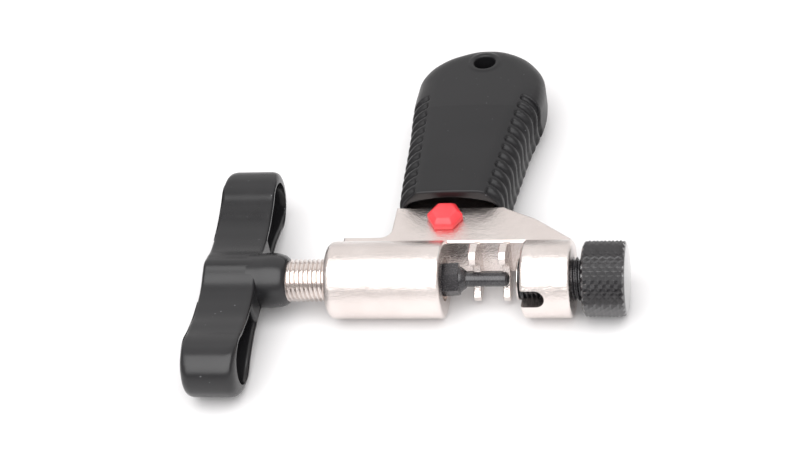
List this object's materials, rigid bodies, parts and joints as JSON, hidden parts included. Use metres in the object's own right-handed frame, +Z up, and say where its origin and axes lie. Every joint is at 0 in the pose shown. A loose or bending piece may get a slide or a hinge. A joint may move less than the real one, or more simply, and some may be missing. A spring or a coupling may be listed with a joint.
{
  "type": "bicycle chain tool",
  "caption": "Flat-lying chain rivet tool with a T-handled driving screw, toothed chain trough, knurled support screw and moulded grip.",
  "frame": {"origin": "on the surface the tool lies on, under the middle of its box", "axes": "+X along both screws, towards the knurled knob; +Y towards the rounded end of the grip; +Z up"},
  "size_m": [0.1178, 0.1338, 0.0215],
  "materials": {
    "nickel_casting": "satin nickel plate over a cast surface",
    "nickel_screw": "bright nickel plate",
    "black_plastic": "satin moulded",
    "black_oxide_steel": "black oxide",
    "red_plastic": "satin moulded"
  },
  "bodies": {
    "frame": {"tool_body": "nickel_casting", "grip_sleeve": "black_plastic"},
    "pin_carriage": {"driver_pin": "black_oxide_steel"},
    "driving_screw": {"main_screw": "nickel_screw", "t_handle": "black_plastic", "pin_holder": "black_oxide_steel"},
    "support_carriage": {"support_bush": "nickel_screw"},
    "support_screw": {"adjusting_screw": "black_oxide_steel", "knurled_knob": "black_oxide_steel"},
    "spare_plug": {"spare_pin_cap": "red_plastic", "spare_pin": "black_oxide_steel"}
  },
  "joints": [
    {"name": "pin_feed", "type": "slide", "parent": "frame", "child": "pin_carriage", "axis": [1, 0, 0], "range_m": [-0.017, 0.003]},
    {"name": "handle_turn", "type": "hinge", "parent": "pin_carriage", "child": "driving_screw", "pos_m": [0.0084, -0.0263, 0.01075], "axis": [1, 0, 0], "range_deg": [-4896, 864]},
    {"name": "support_feed", "type": "slide", "parent": "frame", "child": "support_carriage", "axis": [1, 0, 0], "range_m": [-0.00219, 0.00625]},
    {"name": "knob_turn", "type": "hinge", "parent": "support_carriage", "child": "support_screw", "pos_m": [0.0384, -0.0263, 0.01075], "axis": [1, 0, 0], "range_deg": [-630, 1800]},
    {"name": "plug_pull", "type": "slide", "parent": "frame", "child": "spare_plug", "axis": [0, 0, 1], "range_m": [0, 0.012]}
  ],
  "couplings": [
    {"joint": "pin_feed", "follows": "handle_turn", "m_per_rad": 0.00019894},
    {"joint": "support_feed", "follows": "knob_turn", "m_per_rad": 0.00019894}
  ]
}
